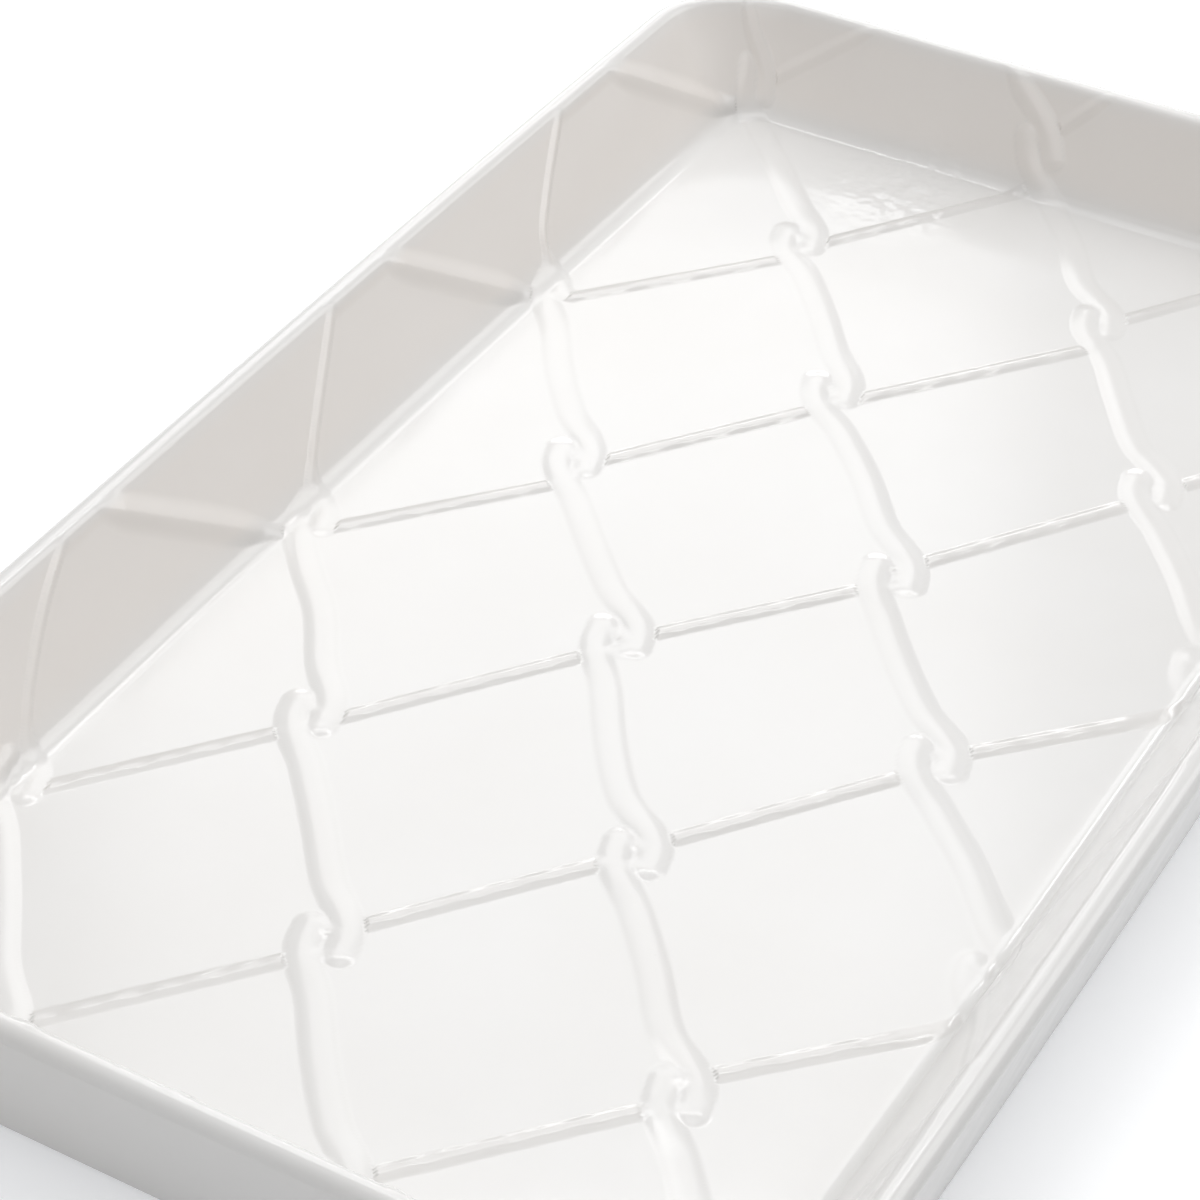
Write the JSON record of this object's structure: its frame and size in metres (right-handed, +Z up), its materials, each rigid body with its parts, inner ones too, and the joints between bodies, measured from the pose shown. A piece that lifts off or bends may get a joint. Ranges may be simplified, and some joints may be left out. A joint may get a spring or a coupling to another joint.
{
  "type": "towel tray",
  "caption": "Shallow rectangular tray of white glazed ceramic for folded guest towels, with a raised chain link mesh over its floor and sloping inner walls.",
  "frame": {"origin": "middle of the underside, on the plane of the foot that the tray stands on", "axes": "+Z up; +Y along the tray's long sides to its far end; +X across it to its right side"},
  "size_m": [0.1406, 0.2354, 0.0226],
  "materials": {
    "glazed_ceramic": "glossy white glaze"
  },
  "bodies": {
    "root": {"tray_body": "glazed_ceramic", "link_wire_1": "glazed_ceramic", "link_wire_2": "glazed_ceramic", "link_wire_3": "glazed_ceramic", "link_wire_4": "glazed_ceramic", "link_wire_5": "glazed_ceramic", "link_wire_6": "glazed_ceramic", "link_wire_7": "glazed_ceramic"}
  },
  "joints": []
}
